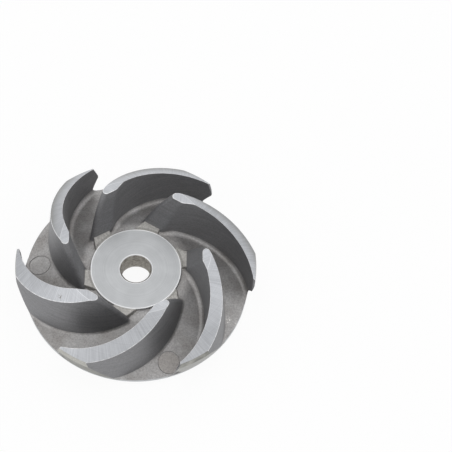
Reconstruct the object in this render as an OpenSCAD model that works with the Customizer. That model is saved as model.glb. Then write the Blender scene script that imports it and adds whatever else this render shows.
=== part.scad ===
// Pump impeller, one die-cast piece with turned faces.
// Semi-open, mixed-flow, six backward-swept vanes on a dished back disc.
// Millimetres. +Z is the bore axis and points out of the hub towards the inlet.
// The origin lies on the bore axis, in the plane of the back land the casting rests on.

/* [Overall] */
// Diameter over the turned vane ends
tip_diameter = 131.8; // [129:0.1:136]
// Height of the flat vane tops above the back land
overall_height = 43.8; // [42:0.1:47]
// Number of vanes
vane_count = 6; // [5:1:7]

/* [Hub] */
// Height of the turned hub face above the back land
hub_height = 18.5; // [18:0.1:20]
// Diameter of the turned hub face
hub_diameter = 50.1; // [48.5:0.1:51.5]
// Drop from the hub face to the passage floor beside it
hub_step = 1.6; // [0.8:0.1:2.2]
// Shaft bore
bore_diameter = 15.88; // [12:0.01:22]
// Chamfer at the front end of the bore
bore_chamfer = 1.1; // [0.4:0.1:2]
// Length of the cast flare at the back end of the bore
flare_length = 3.2; // [1.5:0.1:5]
// Growth in radius over that flare
flare_growth = 1.25; // [0.5:0.05:2]

/* [Back disc] */
// Diameter of the disc rim
disc_diameter = 123.2; // [120:0.1:126]
// Thickness of the disc at its rim
rim_thickness = 1.3; // [1:0.1:2.5]
// Height of the rim's lower edge above the back land
back_dish = 3.6; // [2.5:0.1:4.5]
// Inner diameter of the back land
land_diameter = 85.3; // [80:0.1:92]
// Width of the flat back land
land_width = 1.2; // [0.6:0.1:3]
// Depth of the cast recess in the back
recess_depth = 4.5; // [3:0.1:6]
// Diameter of the recess floor
recess_floor_diameter = 78.8; // [70:0.1:79.5]
// Cove radius round the recess floor
recess_cove = 2; // [0.5:0.1:3]

/* [Passage floor] */
// Diameter where the floor leaves the flat round the hub and starts to fall
shoulder_diameter = 60; // [57:0.2:62]
// Radius of the rounded shoulder between that flat and the floor
shoulder_round = 11; // [6:0.5:14]
// Radius of the hollow arc of the floor, from that shoulder to the rim
floor_arc = 96; // [80:1:160]

/* [Vane profile, revolved] */
// Outer diameter of the flat vane tops
eye_flat_diameter = 82.1; // [79:0.1:88]
// Slope of the conical vane tops that face the volute cover
face_angle = 39.4; // [37:0.1:41]
// Height of the steep turned band at the vane ends
band_height = 4.8; // [3:0.1:8]
// Loss of radius over that band
band_taper = 0.15; // [0.05:0.05:0.6]

/* [Vane sides, upright cones] */
// Radius of the convex side at the vane tops
convex_radius = 46.26; // [45.6:0.02:47]
// Distance of its centre from the bore axis
convex_offset = 25.66; // [25.2:0.02:26.2]
// Direction of its centre
convex_direction = 149.5; // [148:0.1:151]
// Draft of the convex side
convex_draft = 4.37; // [2.5:0.01:5.5]
// Radius of the concave side at the vane tops
concave_radius = 43.34; // [42.8:0.02:44]
// Distance of its centre from the bore axis
concave_offset = 28.43; // [28:0.02:29]
// Direction of its centre
concave_direction = 144.5; // [143.5:0.1:145.5]
// Draft of the concave side
concave_draft = 5.43; // [3.5:0.01:6.5]

/* [Trailing tip] */
// Direction of the blunt end at the vane top
tip_direction = 171.9; // [170.5:0.1:173]
// Slope of that end away from upright
tip_lean = 18.1; // [14:0.1:22]

/* [Leading edge] */
// Direction the leaning front plane of a vane faces away from
edge_direction = 238.7; // [236:0.1:241]
// Distance of that plane from the bore axis at the foot
edge_foot = 27.7; // [27:0.1:28.5]
// Distance of that plane from the bore axis at the vane tops
edge_top = 36.2; // [34.5:0.1:38]
// Radius of the nose between the front plane and the convex side
nose_radius = 2; // [1.2:0.05:2.4]
// Height of the cast ledge at the vane foot above the hub face
ledge_rise = 1; // [0.4:0.1:1.6]

/* [Hidden] */
$fn = 96;

cast_grey = "#8f8f8c";

hub_r = hub_diameter / 2;
bore_r = bore_diameter / 2;
tip_r = tip_diameter / 2;
disc_r = disc_diameter / 2;
eye_r = eye_flat_diameter / 2;
land_r = land_diameter / 2;
shoulder_r = shoulder_diameter / 2;
floor_top = hub_height - hub_step;
rim_top = back_dish + rim_thickness;
ledge_top = hub_height + ledge_rise;
face_edge = overall_height - (tip_r - eye_r) * tan(face_angle);
band_edge = face_edge - band_height;

function polar(r, a) = [r * cos(a), r * sin(a)];
function unit(v) = v / norm(v);

// Centre of the floor arc: it passes through the shoulder and the top of the rim.
floor_a = [shoulder_r, floor_top];
floor_b = [disc_r, rim_top];
floor_mid = (floor_a + floor_b) / 2;
floor_half = norm(floor_b - floor_a) / 2;
floor_side = unit([floor_a[1] - floor_b[1], floor_b[0] - floor_a[0]]);
floor_centre = floor_mid + floor_side * sqrt(floor_arc * floor_arc - floor_half * floor_half);

// Centre of the shoulder round: it touches the flat and the floor arc.
shoulder_z = floor_top - shoulder_round - floor_centre[1];
shoulder_x = sqrt(pow(floor_arc + shoulder_round, 2) - shoulder_z * shoulder_z);
shoulder_centre = [floor_centre[0] - shoulder_x, floor_top - shoulder_round];
shoulder_end = shoulder_centre + unit(floor_centre - shoulder_centre) * shoulder_round;

convex_centre = polar(convex_offset, convex_direction);
concave_centre = polar(concave_offset, concave_direction);

// Plan radius of each vane side at a height.
function convex_at(z) = convex_radius + (overall_height - z) * tan(convex_draft);
function concave_at(z) = concave_radius - (overall_height - z) * tan(concave_draft);

// The front plane leans back: its distance from the axis grows with height.
edge_slope = (edge_top - edge_foot) / (overall_height - ledge_top);
edge_lean = atan(edge_slope);
function edge_at(z) = edge_foot + edge_slope * (z - ledge_top);

// Centre of the nose round at a height: one nose radius inside both surfaces it joins.
edge_normal = polar(1, edge_direction);
edge_along = polar(1, edge_direction - 90);
function nose_start(z) = edge_normal * (edge_at(z) + nose_radius / cos(edge_lean)) - convex_centre;
function nose_reach(z) = convex_at(z) - nose_radius / cos(convex_draft);
function nose_run(z) =
    let (q = nose_start(z), b = q * edge_along, r = nose_reach(z))
    -b - sqrt(b * b - q * q + r * r);
function nose_centre(z) = nose_start(z) + convex_centre + edge_along * nose_run(z);
function nose_point(z) = [nose_centre(z)[0], nose_centre(z)[1], z];

// Direction from the nose into the vane, halfway between its two sides.
function nose_inward(z) =
    let (out = unit(nose_centre(z) - convex_centre))
    unit(edge_along + [out[1], -out[0]]);

// Material that rounds the inside corner at p between the directions u and v.
module cove(p, u, v, r) {
    half = acos(u * v) / 2;
    centre = p + unit(u + v) * r / sin(half);
    difference() {
        polygon([p, p + u * r / tan(half), centre, p + v * r / tan(half)]);
        translate(centre) circle(r = r);
    }
}

// Hub, disc and dished back as one turned section.
module body_section() {
    recess_r = recess_floor_diameter / 2;
    corner = [recess_r, recess_depth];
    difference() {
        polygon([
            [0, recess_depth],
            corner,
            [land_r, 0],
            [land_r + land_width, 0],
            [disc_r, back_dish],
            [disc_r, floor_top],
            [hub_r + 0.3, floor_top],
            [hub_r, floor_top + 0.3],
            [hub_r, hub_height],
            [0, hub_height]
        ]);
        translate(floor_centre) circle(r = floor_arc, $fn = 200);
        difference() {
            polygon([
                shoulder_centre, shoulder_end, [shoulder_end[0], floor_top + 1],
                [shoulder_centre[0], floor_top + 1]
            ]);
            translate(shoulder_centre) circle(r = shoulder_round);
        }
    }
    cove(corner, [-1, 0], unit([land_r - recess_r, -recess_depth]), recess_cove);
}

// Shaft bore: chamfered in front, flared behind.
module bore() {
    flare_end = recess_depth + flare_length;
    translate([0, 0, -1]) cylinder(h = hub_height + 2, r = bore_r);
    translate([0, 0, hub_height - bore_chamfer])
        cylinder(h = bore_chamfer + 1, r1 = bore_r, r2 = bore_r + bore_chamfer + 1);
    translate([0, 0, recess_depth - 1])
        cylinder(h = flare_length + 1, r1 = bore_r + flare_growth * (1 + 1 / flare_length), r2 = bore_r);
}

// Section that every vane is turned to: ledge by the hub, flat top, cone, band and taper.
module vane_section() {
    foot_r = disc_r + 0.02;
    foot_z = back_dish + 0.4;
    polygon([
        [hub_r - 0.5, floor_top - 4],
        [hub_r - 0.5, hub_height - 0.75],
        [hub_r + 1.25, ledge_top],
        [edge_foot, ledge_top],
        [edge_foot, overall_height],
        [eye_r, overall_height],
        [tip_r, face_edge],
        [tip_r - band_taper, band_edge],
        [foot_r, foot_z],
        [foot_r - 2, foot_z],
        [land_r, recess_depth]
    ]);
}

// Ring between the two drafted sides. A vane is its near part, inside vane_sector.
module vane_sides() {
    low = convex_at(0);
    high = overall_height + 1;
    difference() {
        translate([convex_centre[0], convex_centre[1], 0])
            cylinder(h = high, r1 = low, r2 = convex_at(high), $fn = 180);
        translate([concave_centre[0], concave_centre[1], -1])
            cylinder(h = high + 2, r1 = concave_at(-1), r2 = concave_at(high + 1), $fn = 180);
    }
}

// Plan area that holds one vane: it leaves out the far side of the ring.
module vane_sector() {
    linear_extrude(height = overall_height + 1)
        polygon([
            polar(90, 165), polar(16, 200), polar(14, 250),
            polar(40, 290), polar(90, 260), polar(90, 210)
        ]);
}

// The feather edge that is cut away so that the vane ends in a narrow blunt face.
module past_tip() {
    tip_z = face_edge + 1.55;
    low = 12;
    rotate([0, 0, tip_direction])
        rotate([90, 0, 90])
            translate([0, 0, tip_r - 9])
                linear_extrude(height = 14)
                    polygon([
                        [(low - tip_z) * tan(tip_lean), low], [(tip_z + 4 - tip_z) * tan(tip_lean), tip_z + 4],
                        [-12, tip_z + 4], [-12, low]
                    ]);
}

// Everything on the hub side of the leaning front plane.
module before_edge() {
    top = overall_height + 2;
    rotate([0, 0, edge_direction])
        rotate([90, 0, 0])
            translate([0, 0, -60])
                linear_extrude(height = 85)
                    polygon([
                        [-80, -1], [edge_at(ledge_top) + 1, -1], [edge_at(ledge_top) + 1, ledge_top - 0.01],
                        [edge_at(ledge_top), ledge_top - 0.01], [edge_at(top), top], [-80, top]
                    ]);
}

// Frame of the nose rod: it leans along the line where the front plane and the convex side meet.
nose_low = nose_point(ledge_top + 2);
nose_high = nose_point(overall_height - 1);
nose_run_up = nose_high - nose_low;
nose_heading = atan2(nose_run_up[1], nose_run_up[0]);
nose_tilt = atan2(norm([nose_run_up[0], nose_run_up[1]]), nose_run_up[2]);

module along_nose() {
    translate(nose_low) rotate([0, nose_tilt, nose_heading]) children();
}

// Rounded nose: one leaning rod from the disc to the vane top.
module nose() {
    along_nose() translate([0, 0, -11]) cylinder(h = norm(nose_run_up) + 15, r = nose_radius, $fn = 48);
}

// The sharp corner that the rod takes the place of.
module nose_corner() {
    inward = nose_inward((ledge_top + overall_height) / 2);
    turn = atan2(inward[1], inward[0]) - nose_heading;
    roll = atan2(sin(turn), cos(turn) * cos(nose_tilt));
    along_nose()
        rotate([0, 0, roll])
            translate([-12 - 0.3 * nose_radius, -6, -12])
                cube([12, 12, norm(nose_run_up) + 18]);
}

// Cast ledge between the vane foot and the hub.
module ledge() {
    inner = hub_r - 4;
    linear_extrude(height = ledge_top)
        polygon([
            polar(inner, 271),
            polar(hub_r + 1, 269.5),
            nose_centre(ledge_top) + polar(nose_radius, 308),
            nose_centre(ledge_top) + polar(nose_radius, 250),
            polar(edge_foot + 4, 244),
            polar(edge_foot + 0.3, 242),
            polar(inner, 243)
        ]);
}

module vane() {
    intersection() {
        rotate_extrude($fn = 180) vane_section();
        vane_sector();
        union() {
            difference() {
                vane_sides();
                before_edge();
                nose_corner();
                past_tip();
            }
            nose();
            ledge();
        }
    }
}

module impeller() {
    color(cast_grey)
        difference() {
            union() {
                rotate_extrude($fn = 180) body_section();
                for (i = [0:vane_count - 1]) rotate([0, 0, -i * 360 / vane_count]) vane();
            }
            bore();
        }
}

impeller();
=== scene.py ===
import math

import bmesh
import bpy
import numpy as np
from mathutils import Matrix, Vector


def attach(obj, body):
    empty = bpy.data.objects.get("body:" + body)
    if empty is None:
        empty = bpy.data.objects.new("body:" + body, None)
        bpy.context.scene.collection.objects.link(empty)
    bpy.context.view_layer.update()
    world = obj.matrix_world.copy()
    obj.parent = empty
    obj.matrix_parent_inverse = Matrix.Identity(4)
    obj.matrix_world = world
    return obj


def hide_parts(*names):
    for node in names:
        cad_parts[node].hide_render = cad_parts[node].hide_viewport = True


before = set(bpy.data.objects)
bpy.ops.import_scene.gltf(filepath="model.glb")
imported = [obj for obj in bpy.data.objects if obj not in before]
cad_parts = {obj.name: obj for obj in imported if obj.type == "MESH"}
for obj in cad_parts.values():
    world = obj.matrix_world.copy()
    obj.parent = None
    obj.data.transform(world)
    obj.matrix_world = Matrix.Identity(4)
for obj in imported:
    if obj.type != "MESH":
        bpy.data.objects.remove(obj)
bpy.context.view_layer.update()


# ---------------------------------------------------------------------------
# Camera
# The photograph looks down at the casting from about sixty degrees, from well
# away. The impeller lies left of the picture's middle, so the lens is shifted.
# ---------------------------------------------------------------------------
camera_data = bpy.data.cameras.new("camera")
camera_data.sensor_width = 36.0
camera_data.lens = 188.8
camera_data.shift_x = 0.168
camera_data.shift_y = 0.053
camera_data.clip_end = 20.0
camera = bpy.data.objects.new("camera", camera_data)
camera.location = (0.0078, -0.6299, 1.1549)
camera.rotation_euler = (math.radians(29.454), 0.0, 0.0)
bpy.context.scene.collection.objects.link(camera)
bpy.context.scene.camera = camera


# ---------------------------------------------------------------------------
# Turned body: hub, disc and dished back
# The middle of the die casting is round about the bore. Hub face, chamfer, rim,
# back cone and back land are turned; the passage floor and the recess are as cast.
# ---------------------------------------------------------------------------
def linear(hex_text):
    """sRGB hex to the linear colour that a shader takes."""
    channels = [int(hex_text[i:i + 2], 16) / 255 for i in (1, 3, 5)]
    out = [c / 12.92 if c <= 0.04045 else ((c + 0.055) / 1.055) ** 2.4 for c in channels]
    return (*out, 1.0)


def add(tree, kind, settings=None, links=None):
    """Adds one shader node; settings starting with in: are inputs, links name sockets."""
    node = tree.nodes.new(kind)
    for key, value in (settings or {}).items():
        if key.startswith("in:"):
            name = key[3:]
            node.inputs[int(name) if name.isdigit() else name].default_value = value
        else:
            setattr(node, key, value)
    for key, socket in (links or {}).items():
        tree.links.new(socket, node.inputs[int(key) if key.isdigit() else key])
    return node


def cast_skin(name, dark, light, speck, sizes):
    """Die-cast skin: cloudy marks of the given sizes in mm, under a fine grain.

    The real grain is about 0.2 mm; its specks are drawn 0.9 mm wide so that they show.
    """
    skin = bpy.data.materials.new(name)
    skin.use_nodes = True
    tree = skin.node_tree
    shader = tree.nodes["Principled BSDF"]
    shader.inputs["Metallic"].default_value = 0.85
    place = add(tree, "ShaderNodeTexCoord").outputs["Object"]
    grain = add(tree, "ShaderNodeTexNoise",
                {"in:Scale": 1000 / 0.9, "in:Detail": 3.0, "in:Roughness": 0.7}, {"Vector": place})
    drawn = add(tree, "ShaderNodeMapping", {"in:Scale": [1000 / size for size in sizes]},
                {"Vector": place})
    clouds = add(tree, "ShaderNodeTexNoise", {"in:Scale": 1.0, "in:Detail": 3.0, "in:Roughness": 0.5},
                 {"Vector": drawn.outputs["Vector"]})
    cloud_tone = add(tree, "ShaderNodeValToRGB", links={"Fac": clouds.outputs["Fac"]})
    cloud_tone.color_ramp.elements[0].position = 0.3
    cloud_tone.color_ramp.elements[0].color = linear(dark)
    cloud_tone.color_ramp.elements[1].position = 0.7
    cloud_tone.color_ramp.elements[1].color = linear(light)
    grain_tone = add(tree, "ShaderNodeValToRGB", links={"Fac": grain.outputs["Fac"]})
    grain_tone.color_ramp.elements[0].position = 0.32
    grain_tone.color_ramp.elements[0].color = linear(speck)
    grain_tone.color_ramp.elements[1].position = 0.62
    grain_tone.color_ramp.elements[1].color = linear("#FFFFFF")
    speckled = add(tree, "ShaderNodeMix", {"data_type": "RGBA", "blend_type": "MULTIPLY", "in:0": 1.0},
                   {"6": cloud_tone.outputs["Color"], "7": grain_tone.outputs["Color"]})
    dullness_and_painted_shade = add(tree, "ShaderNodeMapRange", {"in:To Min": 0.5, "in:To Max": 0.68},
                   {"Value": clouds.outputs["Fac"]})
    pitting = add(tree, "ShaderNodeBump", {"in:Strength": 0.35, "in:Distance": 0.00006},
                  {"Height": grain.outputs["Fac"]})
    tree.links.new(speckled.outputs[2], shader.inputs["Base Color"])
    tree.links.new(dullness_and_painted_shade.outputs["Result"], shader.inputs["Roughness"])
    tree.links.new(pitting.outputs["Normal"], shader.inputs["Normal"])
    return skin


def local_mark(material, middle, reach, fleck, low, high, colour):
    """Flecks of another colour round one point, over what the material shows there.

    Middle, reach and fleck size are in mm; low and high say how patchy the flecks are.
    """
    tree = material.node_tree
    socket = tree.nodes["Principled BSDF"].inputs["Base Color"]
    under = socket.links[0].from_socket
    place = add(tree, "ShaderNodeTexCoord").outputs["Object"]
    away = add(tree, "ShaderNodeVectorMath",
               {"operation": "DISTANCE", "in:1": [c / 1000 for c in middle]}, {"0": place})
    near = add(tree, "ShaderNodeMapRange",
               {"in:From Min": reach / 1000, "in:From Max": 0.4 * reach / 1000},
               {"Value": away.outputs["Value"]})
    noise = add(tree, "ShaderNodeTexNoise", {"in:Scale": 1000 / fleck, "in:Detail": 3.0},
                {"Vector": place})
    flecks = add(tree, "ShaderNodeMapRange", {"in:From Min": low, "in:From Max": high},
                 {"Value": noise.outputs["Fac"]})
    amount = add(tree, "ShaderNodeMath", {"operation": "MULTIPLY"},
                 {"0": near.outputs["Result"], "1": flecks.outputs["Result"]})
    over = add(tree, "ShaderNodeMix", {"data_type": "RGBA", "in:7": linear(colour)},
               {"0": amount.outputs["Value"], "6": under})
    tree.links.new(over.outputs[2], socket)


# Die-cast aluminium as it left the tool: a dull, finely grained grey skin, a little
# warm, with cloudy flow marks about a centimetre across. Something has scuffed it
# pale in two places near the rim.
as_cast = cast_skin("die_cast_aluminium_skin", "#A9A6A4", "#C9C8C8", "#D6D6D6", (11.0, 11.0, 11.0))
local_mark(as_cast, (50.5, -25.6, 6.0), 3.0, 0.7, 0.56, 0.62, "#F0EEEA")
local_mark(as_cast, (54.0, -26.6, 5.2), 2.0, 0.7, 0.56, 0.62, "#F0EEEA")

# The floor under an ejector pin: the same skin, pressed a shade browner.
pressed = cast_skin("ejector_pin_mark", "#ACA8A5", "#BBB7B4", "#D6D6D6", (9.0, 9.0, 9.0))

# Aluminium faced on a lathe: pale and cool, with fine rings round the bore. The real
# feed is about 0.1 mm; it is drawn 0.5 mm wide so that it shows.
turned = bpy.data.materials.new("lathe_turned_aluminium")
turned.use_nodes = True
tree = turned.node_tree
bright = tree.nodes["Principled BSDF"]
bright.inputs["Metallic"].default_value = 0.9
place = add(tree, "ShaderNodeTexCoord").outputs["Object"]
split = add(tree, "ShaderNodeSeparateXYZ", links={"Vector": place})
flat = add(tree, "ShaderNodeCombineXYZ", links={"X": split.outputs["X"], "Y": split.outputs["Y"]})
radius = add(tree, "ShaderNodeVectorMath", {"operation": "LENGTH"}, {"Vector": flat.outputs["Vector"]})
along = add(tree, "ShaderNodeMath", {"operation": "ADD"},
            {"0": radius.outputs["Value"], "1": split.outputs["Z"]})
rings = add(tree, "ShaderNodeTexNoise",
            {"noise_dimensions": "1D", "in:Scale": 1000 / 0.5, "in:Detail": 2.0},
            {"W": along.outputs["Value"]})
bands = add(tree, "ShaderNodeTexNoise",
            {"noise_dimensions": "1D", "in:Scale": 1000 / 3.2, "in:Detail": 1.0},
            {"W": along.outputs["Value"]})
haze = add(tree, "ShaderNodeTexNoise", {"in:Scale": 1000 / 7.0, "in:Detail": 3.0}, {"Vector": place})
ring_mix = add(tree, "ShaderNodeMix", {"in:0": 0.35},
               {"2": rings.outputs["Fac"], "3": bands.outputs["Fac"]})
ring_haze = add(tree, "ShaderNodeMix", {"in:0": 0.45},
                {"2": ring_mix.outputs[0], "3": haze.outputs["Fac"]})
ring_tone = add(tree, "ShaderNodeValToRGB", links={"Fac": ring_haze.outputs[0]})
ring_tone.color_ramp.elements[0].position = 0.36
ring_tone.color_ramp.elements[0].color = linear("#BABCBE")
ring_tone.color_ramp.elements[1].position = 0.64
ring_tone.color_ramp.elements[1].color = linear("#C8CACC")
gloss = add(tree, "ShaderNodeMapRange", {"in:To Min": 0.4, "in:To Max": 0.46},
            {"Value": bands.outputs["Fac"]})
groove = add(tree, "ShaderNodeBump", {"in:Strength": 0.2, "in:Distance": 0.00002},
             {"Height": rings.outputs["Fac"]})
# Painted highlight: a paler line on the outer edge of the hub face and at the bore's mouth, where these
# edges catch the light.
hub_rim_highlight = add(tree, "ShaderNodeMapRange", {"in:From Min": 0.0242, "in:From Max": 0.0244},
                 {"Value": radius.outputs["Value"]})
bore_mouth_highlight = add(tree, "ShaderNodeMapRange", {"in:From Min": 0.0094, "in:From Max": 0.0092},
                 {"Value": radius.outputs["Value"]})
past_face = add(tree, "ShaderNodeMapRange", {"in:From Min": 0.0254, "in:From Max": 0.0252},
                {"Value": radius.outputs["Value"]})
hub_rim_highlight_only = add(tree, "ShaderNodeMath", {"operation": "MULTIPLY"},
                 {"0": hub_rim_highlight.outputs["Result"], "1": past_face.outputs["Result"]})
# The two painted highlight lines together.
line = add(tree, "ShaderNodeMath", {"operation": "MAXIMUM"},
           {"0": hub_rim_highlight_only.outputs["Value"], "1": bore_mouth_highlight.outputs["Result"]})
highlight_mixed = add(tree, "ShaderNodeMix", {"data_type": "RGBA", "in:7": linear("#F6F7F8")},
            {"0": line.outputs["Value"], "6": ring_tone.outputs["Color"]})
tree.links.new(highlight_mixed.outputs[2], bright.inputs["Base Color"])
tree.links.new(gloss.outputs["Result"], bright.inputs["Roughness"])
tree.links.new(groove.outputs["Normal"], bright.inputs["Normal"])

# The bore wall, cored in the tool and only lightly reamed: brownish and pitted.
cored = bpy.data.materials.new("cored_bore_skin")
cored.use_nodes = True
tree = cored.node_tree
wall = tree.nodes["Principled BSDF"]
wall.inputs["Metallic"].default_value = 0.7
wall.inputs["Roughness"].default_value = 0.6
place = add(tree, "ShaderNodeTexCoord").outputs["Object"]
pores = add(tree, "ShaderNodeTexNoise",
            {"in:Scale": 1000 / 1.6, "in:Detail": 4.0, "in:Roughness": 0.6}, {"Vector": place})
pore_tone = add(tree, "ShaderNodeValToRGB", links={"Fac": pores.outputs["Fac"]})
pore_tone.color_ramp.elements[0].position = 0.36
pore_tone.color_ramp.elements[0].color = linear("#87827B")
pore_tone.color_ramp.elements[1].position = 0.68
pore_tone.color_ramp.elements[1].color = linear("#BEBAB2")
pits = add(tree, "ShaderNodeBump", {"in:Strength": 0.6, "in:Distance": 0.0002},
           {"Height": pores.outputs["Fac"]})
tree.links.new(pore_tone.outputs["Color"], wall.inputs["Base Color"])
tree.links.new(pits.outputs["Normal"], wall.inputs["Normal"])

finishes = [as_cast, turned, cored, pressed]
CAST, TURNED, CORED, PRESSED, FACED, ENDED, BAND, WALL, EDGE, LEDGE = range(10)


def solid(name, points, faces, zones):
    """A mesh object from points in millimetres; zones gives each face its finish."""
    mesh = bpy.data.meshes.new(name)
    mesh.from_pydata((np.asarray(points) / 1000).tolist(), [], faces)
    mesh.polygons.foreach_set("material_index", zones)
    welded = bmesh.new()
    welded.from_mesh(mesh)
    bmesh.ops.remove_doubles(welded, verts=welded.verts, dist=2e-7)
    welded.to_mesh(mesh)
    welded.free()
    work = bpy.data.objects.new(name, mesh)
    bpy.context.scene.collection.objects.link(work)
    return work


# Sizes in millimetres, as radius and height above the back land.
hub_radius, hub_top = 25.05, 18.5
floor_top = 16.9
rim_radius = 61.6
shoulder_radius, shoulder_centre = 11.0, (27.05, 5.9)
shoulder_end = 32.43
hollow_radius, hollow_centre = 96.0, (79.35, 99.25)
recess_depth = 4.5
bore_radius = 7.94


def floor_height(r):
    """Height of the passage floor: a flat by the hub, a round shoulder, a hollow fall."""
    r = np.asarray(r, float)
    shoulder_run = np.clip(r - shoulder_centre[0], 0, shoulder_end - shoulder_centre[0])
    shoulder = shoulder_centre[1] + np.sqrt(shoulder_radius ** 2 - shoulder_run ** 2)
    hollow = hollow_centre[1] - np.sqrt(hollow_radius ** 2 - (r - hollow_centre[0]) ** 2)
    return np.where(r < shoulder_end, shoulder, hollow)


def rounded(corners):
    """Closed profile (r, z) with each corner (r, z, radius, finish of the next edge) rounded."""
    points, zones = [], []
    for i, (r, z, size, zone) in enumerate(corners):
        here = np.array([r, z])
        if size == 0:
            points.append(here)
            zones.append(zone)
            continue
        back = np.array(corners[i - 1][:2]) - here
        ahead = np.array(corners[(i + 1) % len(corners)][:2]) - here
        back, ahead = back / np.linalg.norm(back), ahead / np.linalg.norm(ahead)
        half = math.acos(float(np.clip(back @ ahead, -1, 1))) / 2
        reach = size / math.tan(half)
        middle = here + (back + ahead) / np.linalg.norm(back + ahead) * size / math.sin(half)
        start, end = here + back * reach - middle, here + ahead * reach - middle
        steps = max(2, math.ceil((math.pi - 2 * half) / math.radians(15)))
        turn = math.atan2(start[0] * end[1] - start[1] * end[0], start @ end)
        for k in range(steps + 1):
            a = turn * k / steps
            spin = np.array([[math.cos(a), -math.sin(a)], [math.sin(a), math.cos(a)]])
            points.append(middle + spin @ start)
            zones.append(zone)
    return np.array(points), zones


floor_steps = [(float(r), float(floor_height(r)), 0, CAST)
               for r in (*np.linspace(26.2, 33.0, 11), *np.linspace(34.4, 61.2, 22))]
body_corners = [
    # flare, wall and mouth of the bore
    (9.19, 4.3, 0.3, CORED), (bore_radius, 7.7, 1.0, CORED), (bore_radius, 17.4, 0.1, CORED),
    (8.65, 18.11, 0, TURNED), (9.04, hub_top, 0.2, TURNED),
    # hub face, hub side and passage floor
    (hub_radius - 0.3, hub_top, 0.08, TURNED), (hub_radius, hub_top - 0.3, 0.08, CAST),
    (hub_radius, floor_top, 0.4, CAST), *floor_steps,
    # rim, back land and recess
    (rim_radius, 4.9, 0.25, TURNED), (rim_radius, 3.6, 0.2, TURNED),
    (43.85, 0.0, 0.5, TURNED), (42.65, 0.0, 0.4, CAST), (39.4, recess_depth, 2.0, CAST),
    (14.3, recess_depth, 0.15, CAST), (14.0, 4.3, 0.15, CAST),
]


def spun(name, corners, segments=360):
    """The solid that a closed profile sweeps in one turn about the bore."""
    section, zones = rounded(corners)
    count = len(section)
    turn = np.radians(np.arange(segments) * 360 / segments)
    points = np.stack([
        section[None, :, 0] * np.cos(turn)[:, None],
        section[None, :, 0] * np.sin(turn)[:, None],
        np.broadcast_to(section[None, :, 1], (segments, count)),
    ], -1).reshape(-1, 3)
    faces, face_zones = [], []
    for k in range(segments):
        this, that = k * count, (k + 1) % segments * count
        for i in range(count):
            j = (i + 1) % count
            faces.append((this + i, this + j, that + j, that + i))
            face_zones.append(zones[i])
    return solid(name, points, faces, face_zones)


def combined(target, tool, operation):
    """Cuts the tool from the target or adds it, and leaves one closed solid."""
    for part in (target, tool):
        for finish in finishes[len(part.data.materials):]:
            part.data.materials.append(finish)
    step = target.modifiers.new("step", "BOOLEAN")
    step.operation = operation
    step.solver = "MANIFOLD"
    step.object = tool
    result = bpy.data.meshes.new_from_object(target.evaluated_get(bpy.context.evaluated_depsgraph_get()))
    target.modifiers.clear()
    target.data = result
    bpy.data.objects.remove(tool)


body = spun("turned_body", body_corners)

# Three ejector pins left shallow discs in the passage floors, each inside a finer ring.
# The discs follow the floor, a little below it, and one of them is browner.
pin_radius, pin_depth, ring_depth, ring_width = 6.2, 0.12, 0.45, 0.4
ring_slope = 0.15
pin_top = 14.0
spokes = 72
inside = pin_radius - ring_width
reaches = [inside * 0.25, inside * 0.5, inside * 0.75, inside, inside + ring_slope, pin_radius]
depths = [pin_depth] * 4 + [ring_depth] * 2
rims = len(reaches)
pin_places = ((170.6, 54.0, CAST), (289.3, 54.7, PRESSED), (50.3, 54.0, CAST))
for pin_turn, pin_distance, disc in pin_places:
    a = math.radians(pin_turn)
    middle = pin_distance * np.array([math.cos(a), math.sin(a)])
    points, faces, zones = [], [], []
    for k in range(spokes):
        a = 2 * math.pi * k / spokes
        for reach, depth in zip(reaches, depths):
            p = middle + reach * np.array([math.cos(a), math.sin(a)])
            points.append((*p, float(floor_height(np.linalg.norm(p))) - depth))
        points.append((*p, pin_top))
    points.append((*middle, float(floor_height(pin_distance)) - pin_depth))
    points.append((*middle, pin_top))
    for k in range(spokes):
        this, that = k * (rims + 1), (k + 1) % spokes * (rims + 1)
        faces.append((len(points) - 2, that, this))
        for j in range(rims):
            faces.append((this + j, that + j, that + j + 1, this + j + 1))
        faces.append((len(points) - 1, this + rims, that + rims))
        zones += [disc] * 4 + [CAST] * (rims - 2)
    combined(body, solid("pin", points, faces, zones), "DIFFERENCE")


# ---------------------------------------------------------------------------
# Six swept vanes
# Die cast in one with the disc, with drafted sides and filleted roots; tops, cone and
# ends are turned by a tool that cuts only as each vane passes. They are counted
# clockwise from the one whose tip points to the left.
# ---------------------------------------------------------------------------
# Vane tops turned by an interrupted cut: pale and cool, with fine rings that chatter
# lines cross. The real lines are about 0.2 mm apart; they are drawn 0.5 mm apart and
# the rings 0.6 mm wide so that they show.
faced = bpy.data.materials.new("interrupted_cut_aluminium")
faced.use_nodes = True
tree = faced.node_tree
bright = tree.nodes["Principled BSDF"]
bright.inputs["Metallic"].default_value = 0.9
place = add(tree, "ShaderNodeTexCoord").outputs["Object"]
split = add(tree, "ShaderNodeSeparateXYZ", links={"Vector": place})
flat = add(tree, "ShaderNodeCombineXYZ", links={"X": split.outputs["X"], "Y": split.outputs["Y"]})
radius = add(tree, "ShaderNodeVectorMath", {"operation": "LENGTH"}, {"Vector": flat.outputs["Vector"]})
run = add(tree, "ShaderNodeAttribute", {"attribute_name": "vane_run"})
across = add(tree, "ShaderNodeMath", {"operation": "MULTIPLY", "in:1": 1 / 0.5},
             {"0": run.outputs["Fac"]})
outward = add(tree, "ShaderNodeMath", {"operation": "MULTIPLY", "in:1": 1000 / 14.0},
              {"0": radius.outputs["Value"]})
streak_place = add(tree, "ShaderNodeCombineXYZ",
                   links={"X": across.outputs["Value"], "Y": outward.outputs["Value"]})
chatter = add(tree, "ShaderNodeTexNoise",
              {"noise_dimensions": "2D", "in:Scale": 1.0, "in:Detail": 2.0},
              {"Vector": streak_place.outputs["Vector"]})
rings = add(tree, "ShaderNodeTexNoise",
            {"noise_dimensions": "1D", "in:Scale": 1000 / 0.6, "in:Detail": 2.0},
            {"W": radius.outputs["Value"]})
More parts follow.
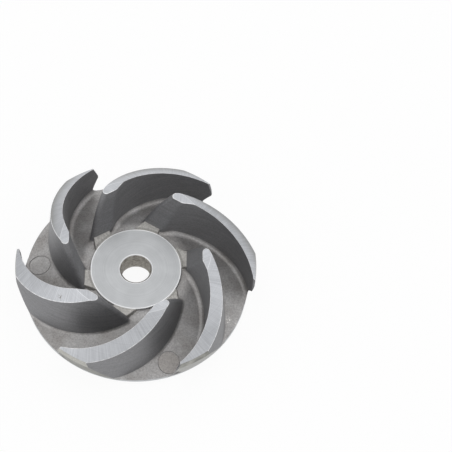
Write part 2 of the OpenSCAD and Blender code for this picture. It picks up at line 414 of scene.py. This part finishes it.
haze = add(tree, "ShaderNodeTexNoise", {"in:Scale": 1000 / 8.0, "in:Detail": 3.0}, {"Vector": place})
streaks = add(tree, "ShaderNodeMix", {"in:0": 0.25},
              {"2": chatter.outputs["Fac"], "3": rings.outputs["Fac"]})
streak_haze = add(tree, "ShaderNodeMix", {"in:0": 0.35},
                  {"2": streaks.outputs[0], "3": haze.outputs["Fac"]})
face_tone = add(tree, "ShaderNodeValToRGB", links={"Fac": streak_haze.outputs[0]})
face_tone.color_ramp.elements[0].position = 0.34
face_tone.color_ramp.elements[0].color = linear("#B4B6BA")
face_tone.color_ramp.elements[1].position = 0.66
face_tone.color_ramp.elements[1].color = linear("#CDCFD3")
# Painted highlight: a fine pale line where the flat passes into the cone, where the crease catches the
# light.
inside = add(tree, "ShaderNodeMapRange", {"in:From Min": 0.0409, "in:From Max": 0.0410},
             {"Value": radius.outputs["Value"]})
outside = add(tree, "ShaderNodeMapRange", {"in:From Min": 0.0413, "in:From Max": 0.0412},
              {"Value": radius.outputs["Value"]})
crease_highlight = add(tree, "ShaderNodeMath", {"operation": "MULTIPLY"},
             {"0": inside.outputs["Result"], "1": outside.outputs["Result"]})
crease_highlighted = add(tree, "ShaderNodeMix", {"data_type": "RGBA", "in:7": linear("#DCDEE1")},
              {"0": crease_highlight.outputs["Value"], "6": face_tone.outputs["Color"]})
# Painted shade: on the second to fourth vanes the cone is painted darker towards the convex side, where
# its reflection is darker.
painted_shade = add(tree, "ShaderNodeAttribute", {"attribute_name": "vane_painted_shade"})
on_cone = add(tree, "ShaderNodeMapRange", {"in:From Min": 0.0412, "in:From Max": 0.0500},
              {"Value": radius.outputs["Value"]})
painted_shade_amount = add(tree, "ShaderNodeMath", {"operation": "MULTIPLY"},
              {"0": painted_shade.outputs["Fac"], "1": on_cone.outputs["Result"]})
painted_shade_mixed = add(tree, "ShaderNodeMix", {"data_type": "RGBA", "in:7": linear("#8E8E8B")},
             {"0": painted_shade_amount.outputs["Value"], "6": crease_highlighted.outputs[2]})
groove = add(tree, "ShaderNodeBump", {"in:Strength": 0.25, "in:Distance": 0.00003},
             {"Height": streaks.outputs[0]})
bright.inputs["Roughness"].default_value = 0.45
tree.links.new(painted_shade_mixed.outputs[2], bright.inputs["Base Color"])
tree.links.new(groove.outputs["Normal"], bright.inputs["Normal"])

# A small dark stain on the first vane's top.
local_mark(faced, (-40.6, -27.8, 37.2), 2.2, 0.8, 0.52, 0.62, "#6B665C")

# Vane ends turned to the outer diameter: a warmer, duller cut with slanting tool
# lines. The real lines are finer; they are drawn 1.6 mm high so that they show.
ended = bpy.data.materials.new("turned_vane_end")
ended.use_nodes = True
tree = ended.node_tree
warm = tree.nodes["Principled BSDF"]
warm.inputs["Metallic"].default_value = 0.85
warm.inputs["Roughness"].default_value = 0.5
place = add(tree, "ShaderNodeTexCoord").outputs["Object"]
split = add(tree, "ShaderNodeSeparateXYZ", links={"Vector": place})
angle = add(tree, "ShaderNodeMath", {"operation": "ARCTAN2"},
            {"0": split.outputs["Y"], "1": split.outputs["X"]})
across = add(tree, "ShaderNodeMath", {"operation": "MULTIPLY", "in:1": 65 / 1.1},
             {"0": angle.outputs["Value"]})
slant = add(tree, "ShaderNodeMath", {"operation": "MULTIPLY_ADD", "in:1": 1000 / 1.6},
            {"0": split.outputs["Z"], "2": across.outputs["Value"]})
lines = add(tree, "ShaderNodeTexNoise",
            {"noise_dimensions": "1D", "in:Scale": 1.0, "in:Detail": 2.0},
            {"W": slant.outputs["Value"]})
end_tone = add(tree, "ShaderNodeValToRGB", links={"Fac": lines.outputs["Fac"]})
end_tone.color_ramp.elements[0].position = 0.3
end_tone.color_ramp.elements[0].color = linear("#9A9A97")
end_tone.color_ramp.elements[1].position = 0.7
end_tone.color_ramp.elements[1].color = linear("#AFAFAC")
scored = add(tree, "ShaderNodeBump", {"in:Strength": 0.25, "in:Distance": 0.00003},
             {"Height": lines.outputs["Fac"]})
tree.links.new(end_tone.outputs["Color"], warm.inputs["Base Color"])
tree.links.new(scored.outputs["Normal"], warm.inputs["Normal"])
# Painted shade: the end of the sixth vane is painted darker than the others.
local_mark(ended, (-30.0, -58.0, 11.0), 30.0, 5.0, 0.15, 0.6, "#7F7E79")

# The steep band above the taper, which the tool only just cleaned up: patches of skin
# show through in level streaks, pale and a little olive.
cleaned = cast_skin("part_cleaned_band", "#BDBCB7", "#CFCEC9", "#E0E0DE", (6.0, 6.0, 1.2))
# Painted shade: the band on the fifth vane is painted darker, standing in for the dark surroundings that
# it reflects.
local_mark(cleaned, (31.0, -57.5, 21.5), 24.0, 7.0, 0.2, 0.5, "#8A8A85")

# Vane sides, drawn along the tool as the casting shrank on to it, with long level streaks 1.3 mm high;
# as painted shade for the steep walls, the skin is darker and cooler than on the floors.
drawn_wall_painted_shade = cast_skin("drawn_vane_wall_painted_shade", "#8B8B8D", "#98989A", "#E9E9E9", (24.0, 24.0, 1.3))

# The broken edge of a turned top: painted highlight, pale bright aluminium where the rounded edge
# catches the light, with dull nicks about 2 mm long.
edge_painted_highlight = bpy.data.materials.new("edge_with_painted_highlight")
edge_painted_highlight.use_nodes = True
tree = edge_painted_highlight.node_tree
edge = tree.nodes["Principled BSDF"]
edge.inputs["Metallic"].default_value = 0.9
edge.inputs["Roughness"].default_value = 0.35
place = add(tree, "ShaderNodeTexCoord").outputs["Object"]
nicks = add(tree, "ShaderNodeTexNoise", {"in:Scale": 1000 / 2.0, "in:Detail": 3.0}, {"Vector": place})
nick_and_highlight_tone = add(tree, "ShaderNodeValToRGB", links={"Fac": nicks.outputs["Fac"]})
nick_and_highlight_tone.color_ramp.elements[0].position = 0.35
nick_and_highlight_tone.color_ramp.elements[0].color = linear("#C9CACC")
nick_and_highlight_tone.color_ramp.elements[1].position = 0.6
nick_and_highlight_tone.color_ramp.elements[1].color = linear("#F0F1F2")
tree.links.new(nick_and_highlight_tone.outputs["Color"], edge.inputs["Base Color"])
finishes += [faced, ended, cleaned, drawn_wall_painted_shade, edge_painted_highlight]

# Sizes in millimetres and degrees, for the first vane.
vane_top = 43.8
flat_radius = 41.05
face_slope = math.tan(math.radians(39.4))
tip_radius = 65.88
face_edge = vane_top - (tip_radius - flat_radius) * face_slope
taper_foot, taper_foot_radius = 4.0, 61.45
taper_top, taper_top_radius = 18.6, 65.75
nose_radius, corner_radius = 2.0, 5.0
edge_round = 0.22
sunk = 0.8


def heading(degrees):
    """Unit vector in plan."""
    return np.array([math.cos(math.radians(degrees)), math.sin(math.radians(degrees))])


convex_turn, concave_turn = 149.5, 144.5
convex_axis, concave_axis = 25.66 * heading(convex_turn), 28.43 * heading(concave_turn)
front_turn = 238.7
front_normal, front_along = heading(front_turn), heading(front_turn - 90)
front_foot, front_foot_distance, front_top_distance = 19.5, 27.7, 36.2
blunt_turn, blunt_lean, blunt_rise = 171.9, math.tan(math.radians(18.1)), 1.55


def convex_radius(z):
    """Plan radius of the convex side, a drafted upright cone."""
    return 46.26 + (vane_top - z) * math.tan(math.radians(4.37))


def concave_radius(z):
    """Plan radius of the concave side, drafted the other way."""
    return 43.34 - (vane_top - z) * math.tan(math.radians(5.43))


def front_distance(z):
    """Distance of the leaning front plane from the bore's axis."""
    lean_run = (front_top_distance - front_foot_distance) / (vane_top - front_foot)
    return front_foot_distance + (z - front_foot) * lean_run


def top_height(r):
    """Height of the turned tops: flat round the eye, then the cone."""
    return vane_top - np.maximum(0, np.asarray(r, float) - flat_radius) * face_slope


def end_radius(z):
    """Radius of the turned vane ends: a steep band, then the taper to the rim."""
    return np.interp(z, [taper_foot, taper_top, face_edge],
                     [taper_foot_radius, taper_top_radius, tip_radius])


def toward(v):
    """Turn of a plan vector in degrees."""
    return np.degrees(np.arctan2(v[..., 1], v[..., 0])) % 360


def front_meeting(distance, axis, reach):
    """Plan points at a distance along the front's normal and at a reach from an axis."""
    start = front_normal * distance[:, None]
    q = start - axis
    b = q @ front_along
    run = -b - np.sqrt(b * b - (q * q).sum(-1) + reach ** 2)
    return start + front_along * run[:, None]


def arc(centre, radius, degrees):
    """Plan points on circles about one centre."""
    a = np.radians(degrees)
    return centre + radius[:, None] * np.stack([np.cos(a), np.sin(a)], -1)


# Columns of points stand round one vane's outline. Each lies at a share, 0 to 1, of
# the stretch that it belongs to: a side, the nose, the front, the corner or the end.
side_steps, front_steps, end_steps = 64, 14, 14
stretch = []
share = []


def stretch_of(name):
    """Numbers of the columns on one stretch."""
    return np.array([i for i, s in enumerate(stretch) if s == name], int)


def outline(z, grow):
    """Plan points of all columns, each at its height and grown outward by its amount."""
    inset = np.minimum(grow, 0)
    t = np.array(share)
    nose = front_meeting(front_distance(z) + nose_radius, convex_axis, convex_radius(z) - nose_radius)
    corner = front_meeting(front_distance(z) + corner_radius, concave_axis,
                           concave_radius(z) + corner_radius)
    outer, inner = convex_radius(z) + grow, concave_radius(z) - grow
    rim = end_radius(z) + inset
    far = np.linalg.norm(convex_axis)
    cosine = (rim ** 2 - far ** 2 - outer ** 2) / (2 * far * outer)
    convex_start = convex_turn + np.degrees(np.arccos(cosine))
    end_high = toward(arc(convex_axis, outer, convex_start))
    nose_turn = toward(nose - convex_axis)
    front_way = front_turn + 180
    corner_turn = 360 + toward(concave_axis - corner)
    concave_start = toward(corner - concave_axis)
    far = np.linalg.norm(concave_axis)
    cosine = (rim ** 2 - far ** 2 - inner ** 2) / (2 * far * inner)
    concave_end = concave_turn + np.degrees(np.arccos(cosine))
    end_low = toward(arc(concave_axis, inner, concave_end))
    blunt = blunt_lean * (z - face_edge - blunt_rise) - inset
    x_axis, y_axis = heading(blunt_turn), heading(blunt_turn + 90)
    side = blunt - concave_axis @ y_axis
    x = concave_axis @ x_axis + np.sqrt(inner ** 2 - side ** 2)
    blunt_point = x[:, None] * x_axis + blunt[:, None] * y_axis
    concave_end = np.maximum(concave_end, toward(blunt_point - concave_axis))
    end_low = np.maximum(end_low, blunt_turn + np.degrees(np.arcsin(blunt / rim)))

    points = np.zeros((len(t), 2))
    for name in ("convex", "nose", "front", "corner", "concave", "end"):
        i = stretch_of(name)
        s = t[i]
        if name == "convex":
            points[i] = arc(convex_axis, outer[i],
                            convex_start[i] + s * (nose_turn - convex_start)[i])
        elif name == "nose":
            points[i] = arc(nose[i], nose_radius + grow[i],
                            nose_turn[i] + s * (front_way - nose_turn)[i])
        elif name == "front":
            a = nose[i] - front_normal * (nose_radius + grow[i])[:, None]
            b = corner[i] - front_normal * (corner_radius + grow[i])[:, None]
            points[i] = a + s[:, None] * (b - a)
        elif name == "corner":
            points[i] = arc(corner[i], corner_radius + grow[i],
                            front_way + s * (corner_turn - front_way)[i])
        elif name == "concave":
            points[i] = arc(concave_axis, inner[i],
                            concave_start[i] + s * (concave_end - concave_start)[i])
        else:
            points[i] = arc(np.zeros(2), rim[i], end_low[i] + s * (end_high - end_low)[i])
    return points


def crease_share(name):
    """Share of a side at which its top passes from the flat to the cone."""
    low, high = 0.0, 1.0
    for _ in range(50):
        middle = (low + high) / 2
        stretch[:], share[:] = [name], [middle]
        r = np.linalg.norm(outline(np.array([vane_top]), np.array([-edge_round]))[0])
        inside = r < flat_radius
        if name == "convex":
            low, high = (low, middle) if inside else (middle, high)
        else:
            low, high = (middle, high) if inside else (low, middle)
    return (low + high) / 2


convex_crease, concave_crease = crease_share("convex"), crease_share("concave")
cone_steps = 44
convex_shares = [*np.linspace(0, convex_crease, cone_steps + 1),
                 *np.linspace(convex_crease, 1, side_steps - cone_steps + 1)[1:]]
concave_shares = [*np.linspace(0, concave_crease, side_steps - cone_steps + 1),
                  *np.linspace(concave_crease, 1, cone_steps + 1)[1:]]
stretch[:], share[:] = [], []
for name, shares in (("convex", convex_shares), ("nose", np.linspace(0, 1, front_steps + 1)[1:]),
                     ("front", (0.25, 0.5, 0.75)), ("corner", np.linspace(0, 1, front_steps + 1)[:-1]),
                     ("concave", concave_shares), ("end", np.linspace(0, 1, end_steps + 1)[:-1])):
    stretch += [name] * len(shares)
    share += list(shares)
columns = len(share)
last_side = columns - end_steps - 1

# Root fillets: small on the convex side and the front, 3 mm on the concave side.
root = np.interp(np.arange(columns), [0, 60, 72, 90, 110, last_side, columns - 1],
                 [1.1, 1.1, 1.0, 1.2, 3.0, 3.0, 1.1])


def meeting_height(grow):
    """Height at which each column meets the turned tops."""
    low, high = np.full(columns, 12.0), np.full(columns, 47.0)
    for _ in range(50):
        middle = (low + high) / 2
        above = middle > top_height(np.linalg.norm(outline(middle, np.full(columns, grow)), axis=1))
        high, low = np.where(above, middle, high), np.where(above, low, middle)
    return (low + high) / 2


def on_floor(height, grow):
    """Height of each column at a given rise above the passage floor."""
    z = np.full(columns, 10.0)
    for _ in range(25):
        r = np.linalg.norm(outline(z, grow), axis=1)
        z = floor_height(np.minimum(r, tip_radius + 0.12)) + height
    return z


rows = []


def row(z, grow):
    """One ring of points round the vane."""
    rows.append(np.column_stack([outline(z, grow), z]))


row(on_floor(np.full(columns, -sunk), root + 0.05), root + 0.05)
fillet_turns = np.radians([84, 72, 60, 48, 36, 24, 12])
for a in fillet_turns:
    row(on_floor(root * (1 - math.sin(a)), root * (1 - math.cos(a))), root * (1 - math.cos(a)))
wall_row = len(fillet_turns)
none = np.zeros(columns)
foot, crown = on_floor(root, none), meeting_height(0.0)
band = (taper_top - foot[-1]) / (crown[-1] - edge_round - foot[-1])
taper_steps, band_steps = 7, 4
shares_up = [*np.linspace(0, band, taper_steps + 1), *np.linspace(band, 1, band_steps + 1)[1:]]
for s in shares_up:
    row(foot + s * (crown - edge_round - foot), none)
band_row = len(rows) - 1 - band_steps
half_turn = math.radians(45)
row(crown - edge_round * (1 - math.sin(half_turn)), none - edge_round * (1 - math.cos(half_turn)))
row(meeting_height(-edge_round), none - edge_round)


def lid(border, height):
    """Points and faces that close a border loop with a surface of revolution."""
    points = []
    half = last_side // 2
    strip = []
    for i in range(half + 1):
        a, b = border[i], border[last_side - i]
        ra, rb = np.hypot(*a[:2]), np.hypot(*b[:2])
        ta, tb = toward(a[:2]), toward(b[:2])
        line = []
        for k in range(end_steps + 1):
            if k == 0:
                line.append(("border", i))
            elif k == end_steps or i == last_side - i:
                line.append(("border", last_side - i))
            else:
                s = k / end_steps
                r, t = ra + s * (rb - ra), math.radians(ta + s * (tb - ta))
                points.append((r * math.cos(t), r * math.sin(t), float(height(r))))
                line.append(("inner", len(points) - 1))
        strip.append(line)
    ends = [("border", last_side + 1 + end_steps - k) for k in range(1, end_steps + 1)]
    return points, [[("border", 0)] + ends] + strip


def vane_mesh():
    """Points, faces and finishes of one vane: rings of points and two lids."""
    points = [p for r in rows for p in r]
    faces, zones = [], []
    top = len(rows) - 1
    for j in range(top):
        for i in range(columns):
            k = (i + 1) % columns
            quad = (j * columns + i, j * columns + k, (j + 1) * columns + k, (j + 1) * columns + i)
            faces.append(quad)
            if i > last_side:
                zones.append(BAND if j >= band_row else ENDED)
            elif j >= top - 2:
                zones.append(EDGE)
            else:
                zones.append(WALL if j >= wall_row else CAST)
    lids = ((0, lambda r: floor_height(r) - sunk, True), (top, top_height, False))
    for level, height, flip in lids:
        inner, lines = lid(rows[level], height)
        start = len(points)
        points += inner

        def index(mark):
            return level * columns + mark[1] if mark[0] == "border" else start + mark[1]

        for a, b in zip(lines[:-1], lines[1:]):
            for k in range(end_steps):
                loop = [index(a[k]), index(b[k]), index(b[k + 1]), index(a[k + 1])]
                loop = [v for n, v in enumerate(loop) if v not in loop[:n]]
                if len(loop) > 2:
                    faces.append(tuple(loop[::-1] if flip else loop))
                    zones.append(CAST if flip else FACED)
    return np.array(points), faces, zones


vane_points, vane_faces, vane_zones = vane_mesh()


def turned_copies(points, faces, zones, count=6):
    """The same shape count times round the bore, in one mesh."""
    all_points, all_faces = [], []
    for k in range(count):
        a = -2 * math.pi * k / count
        spin = np.array([[math.cos(a), -math.sin(a), 0], [math.sin(a), math.cos(a), 0], [0, 0, 1]])
        all_faces += [tuple(v + k * len(points) for v in f) for f in faces]
        all_points.append(points @ spin.T)
    return np.concatenate(all_points), all_faces, list(zones) * count


vanes = solid("vanes", *turned_copies(vane_points, vane_faces, vane_zones))


# ---------------------------------------------------------------------------
# Cast ledges at the vane feet
# A low shelf of the casting joins each vane's foot to the hub, a millimetre above
# the hub face. The lathe tool has left a narrow groove between shelf and hub.
# ---------------------------------------------------------------------------
# The same skin, worn paler and smoother where parts have rested on it.
worn = cast_skin("worn_ledge_skin", "#B6B4B0", "#D0CECA", "#D8D8D8", (4.0, 4.0, 4.0))
finishes.append(worn)

ledge_top = 19.5
ledge_round, ledge_root = 0.6, 0.8
ledge_inset, ledge_sunk = 0.08, 0.9
# Plan corners as radius and turn, each with its rounding.
ledge_corners = [
    (22.0, 242.5, 0), (28.2, 241.3, 0.8), (31.7, 243.5, 0), (33.0, 250.0, 0),
    (30.3, 260.7, 1.6), (26.05, 269.6, 0.6), (22.0, 271.5, 0),
]
ledge_plan, _ = rounded([(*(r * heading(a)), size, CAST) for r, a, size in ledge_corners])


def grown(plan, size):
    """A closed plan outline, counter-clockwise, moved outward."""
    before, after = plan - np.roll(plan, 1, 0), np.roll(plan, -1, 0) - plan
    before /= np.linalg.norm(before, axis=1)[:, None]
    after /= np.linalg.norm(after, axis=1)[:, None]
    bisector = np.stack([(before + after)[:, 1], -(before + after)[:, 0]], -1)
    bisector /= np.linalg.norm(bisector, axis=1)[:, None]
    reach = 1 / np.clip((bisector * np.stack([after[:, 1], -after[:, 0]], -1)).sum(1), 0.5, 1)
    return plan + bisector * (size * reach)[:, None]


if sum(a[0] * b[1] - a[1] * b[0] for a, b in zip(ledge_plan, np.roll(ledge_plan, -1, 0))) < 0:
    ledge_plan = ledge_plan[::-1]
ledge_rows = []
for a in (90, 75, 60, 45, 30, 15, 0):
    size = ledge_root * (1 - math.cos(math.radians(a)))
    plan = grown(ledge_plan, size)
    lift = ledge_root * (1 - math.sin(math.radians(a))) - (ledge_sunk if a == 90 else 0)
    ledge_rows.append(np.column_stack([plan, floor_height(np.linalg.norm(plan, axis=1)) + lift]))
for a in (0, 30, 60, 90):
    plan = grown(ledge_plan, -ledge_inset - ledge_round * (1 - math.cos(math.radians(a))))
    height = ledge_top - ledge_round * (1 - math.sin(math.radians(a)))
    ledge_rows.append(np.column_stack([plan, np.full(len(plan), height)]))
around = len(ledge_plan)
last_ring = (len(ledge_rows) - 1) * around
ledge_faces = [tuple(range(around))[::-1], tuple(range(last_ring, last_ring + around))]
for j in range(len(ledge_rows) - 1):
    for i in range(around):
        k = (i + 1) % around
        ledge_faces.append((j * around + i, j * around + k, (j + 1) * around + k, (j + 1) * around + i))
ledge_zones = [LEDGE] * len(ledge_faces)
ledges = solid("ledges", *turned_copies(np.concatenate(ledge_rows), ledge_faces, ledge_zones))

# The groove is a shallow step that the facing tool cut round the hub, through the ledges.
groove_corners = [
    (20.0, 18.2, 0, LEDGE), (20.0, 22.0, 0, LEDGE), (26.3, 22.0, 0, LEDGE),
    (26.3, 19.6, 0, LEDGE), (25.8, 19.2, 0.3, LEDGE), (25.3, 18.2, 0, LEDGE),
]
combined(ledges, spun("groove", groove_corners), "DIFFERENCE")


# ---------------------------------------------------------------------------
# One casting
# Body, vanes and ledges are cast as one piece of aluminium, so they are joined into
# one closed solid that stands for the CAD node and rides the only body.
# ---------------------------------------------------------------------------
combined(body, vanes, "UNION")
combined(body, ledges, "UNION")
casting = body
casting.name = "impeller_casting"
casting.data.polygons.foreach_set("use_smooth", [True] * len(casting.data.polygons))
casting.data.set_sharp_from_angle(angle=math.radians(32))
shading = casting.modifiers.new("shading", "WEIGHTED_NORMAL")
shading.keep_sharp = True
shaded = bpy.data.meshes.new_from_object(casting.evaluated_get(bpy.context.evaluated_depsgraph_get()))
casting.modifiers.clear()
casting.data = shaded


def spun_normal(places, out, up):
    """Unit normals that lean outward from the bore by the given amounts."""
    flat_part = places[:, :2] / np.linalg.norm(places[:, :2], axis=1)[:, None]
    return np.column_stack([flat_part * out[:, None], up])


# The turned tops and ends are true surfaces of revolution, so they are shaded as such.
points = np.zeros(3 * len(shaded.vertices))
shaded.vertices.foreach_get("co", points)
points = points.reshape(-1, 3) * 1000
corner_point = np.zeros(len(shaded.loops), int)
shaded.loops.foreach_get("vertex_index", corner_point)
zone = np.zeros(len(shaded.polygons), int)
shaded.polygons.foreach_get("material_index", zone)
sides = np.zeros(len(shaded.polygons), int)
shaded.polygons.foreach_get("loop_total", sides)
starts = np.concatenate([[0], np.cumsum(sides)[:-1]])
places = points[corner_point]
r, z = np.linalg.norm(places[:, :2], axis=1), places[:, 2]
off_top = np.maximum.reduceat(abs(z - top_height(r)), starts)
off_end = np.maximum.reduceat(abs(r - end_radius(z)), starts)
mean_r = np.add.reduceat(r, starts) / sides
mean_z = np.add.reduceat(z, starts) / sides
band_lean = math.atan((tip_radius - taper_top_radius) / (face_edge - taper_top))
taper_lean = math.atan((taper_top_radius - taper_foot_radius) / (taper_top - taper_foot))
tilt = np.repeat(np.where(mean_r > flat_radius, math.atan(face_slope), 0.0), sides)
lean = np.repeat(np.where(mean_z > taper_top, band_lean, taper_lean), sides)
close = 0.03
on_top = np.repeat((zone == FACED) & (off_top < close), sides)
on_end = np.repeat(((zone == ENDED) | (zone == BAND)) & (off_end < close), sides)
normals = np.zeros(3 * len(shaded.loops))
shaded.corner_normals.foreach_get("vector", normals)
normals = normals.reshape(-1, 3)
normals = np.where(on_top[:, None], spun_normal(places, np.sin(tilt), np.cos(tilt)), normals)
normals = np.where(on_end[:, None], spun_normal(places, np.cos(lean), -np.sin(lean)), normals)
shaded.normals_split_custom_set(normals.tolist())

# How far along its vane each point lies, in millimetres, for the chatter lines, and how much painted
# shade darkens the cone there: most at the convex side of the second to fourth vane.
mean_reach, apart, margin = 46, 500, 0.4
dullness_and_painted_shade = [0.0, 0.85, 0.85, 0.8, 0.0, 0.0]
run, painted_shade = np.zeros(len(points)), np.zeros(len(points))
heights = points[:, 2]
for k in range(6):
    a = 2 * math.pi * k / 6
    own = points[:, :2] @ np.array([[math.cos(a), math.sin(a)], [-math.sin(a), math.cos(a)]])
    to_convex = convex_radius(heights) - np.linalg.norm(own - convex_axis, axis=1)
    to_concave = np.linalg.norm(own - concave_axis, axis=1) - concave_radius(heights)
    here = (to_convex > -margin) & (to_concave > -margin)
    here &= (heights > ledge_top) & (own @ heading(60) < 20)
    run[here] = (mean_reach * np.radians(toward(own - convex_axis)) + apart * k)[here]
    side = np.clip(to_concave / np.maximum(to_convex + to_concave, 0.1), 0, 1)
    painted_shade[here] = (dullness_and_painted_shade[k] * side ** 2)[here]
shaded.attributes.new("vane_run", "FLOAT", "POINT").data.foreach_set("value", run)
shaded.attributes.new("vane_painted_shade", "FLOAT", "POINT").data.foreach_set("value", painted_shade)
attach(casting, "root")
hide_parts("impeller")


# ---------------------------------------------------------------------------
# Floor and light
# A plain white sheet that shows white to the camera and in the metal, and still takes
# the casting's shadow. Four soft boxes, above, left, right and behind, under a sky that
# is a little brighter overhead than at the horizon.
# ---------------------------------------------------------------------------
floor_half = 3
floor_mesh = bpy.data.meshes.new("floor")
floor_corners = [(x * floor_half, y * floor_half, 0) for x, y in ((-1, -1), (1, -1), (1, 1), (-1, 1))]
floor_mesh.from_pydata(floor_corners, [], [(0, 1, 2, 3)])
floor = bpy.data.objects.new("floor", floor_mesh)
bpy.context.scene.collection.objects.link(floor)

# White paper, matt. To the camera and in the metal it shows almost plain white.
paper = bpy.data.materials.new("white_paper_sweep")
paper.use_nodes = True
tree = paper.node_tree
sheet = tree.nodes["Principled BSDF"]
sheet.inputs["Base Color"].default_value = linear("#F2F2F2")
sheet.inputs["Roughness"].default_value = 0.9
white = add(tree, "ShaderNodeEmission", {"in:Color": (1, 1, 1, 1), "in:Strength": 1.0})
path = add(tree, "ShaderNodeLightPath")
seen = add(tree, "ShaderNodeMath", {"operation": "MAXIMUM"},
           {"0": path.outputs["Is Camera Ray"], "1": path.outputs["Is Glossy Ray"]})
seen_all = add(tree, "ShaderNodeMath", {"operation": "MAXIMUM"},
               {"0": seen.outputs["Value"], "1": path.outputs["Is Transmission Ray"]})
share_white = add(tree, "ShaderNodeMath", {"operation": "MULTIPLY", "in:1": 0.92},
                  {"0": seen_all.outputs["Value"]})
mixed = add(tree, "ShaderNodeMixShader", links={
    "0": share_white.outputs["Value"], "1": sheet.outputs["BSDF"], "2": white.outputs["Emission"]})
tree.links.new(mixed.outputs["Shader"], tree.nodes["Material Output"].inputs["Surface"])
floor.data.materials.append(paper)


def soft_lamp(name, place, width, power):
    """A square soft box that points at the casting."""
    data = bpy.data.lights.new(name, "AREA")
    data.shape = "SQUARE"
    data.size = width
    data.energy = power
    lamp = bpy.data.objects.new(name, data)
    lamp.location = place
    lamp.rotation_euler = (-Vector(place)).to_track_quat("-Z", "Y").to_euler()
    bpy.context.scene.collection.objects.link(lamp)


soft_lamp("overhead", (0.0, -0.1, 1.4), 0.9, 1.6)
soft_lamp("left", (-1.25, -0.45, 0.6), 1.1, 2.5)
soft_lamp("right", (1.3, 0.1, 0.55), 1.1, 1.7)
soft_lamp("back", (0.0, 1.4, 0.6), 1.1, 1.8)

world = bpy.data.worlds.new("studio")
bpy.context.scene.world = world
world.use_nodes = True
tree = world.node_tree
sky = tree.nodes["Background"]
sky.inputs["Color"].default_value = (1, 1, 1, 1)
view = add(tree, "ShaderNodeTexCoord").outputs["Generated"]
rise = add(tree, "ShaderNodeSeparateXYZ", links={"Vector": view})
fade = add(tree, "ShaderNodeMapRange",
           {"in:From Min": 0.0, "in:From Max": 0.95, "in:To Min": 0.54, "in:To Max": 0.96},
           {"Value": rise.outputs["Z"]})
tree.links.new(fade.outputs["Result"], sky.inputs["Strength"])

bpy.context.scene.view_settings.view_transform = "Standard"
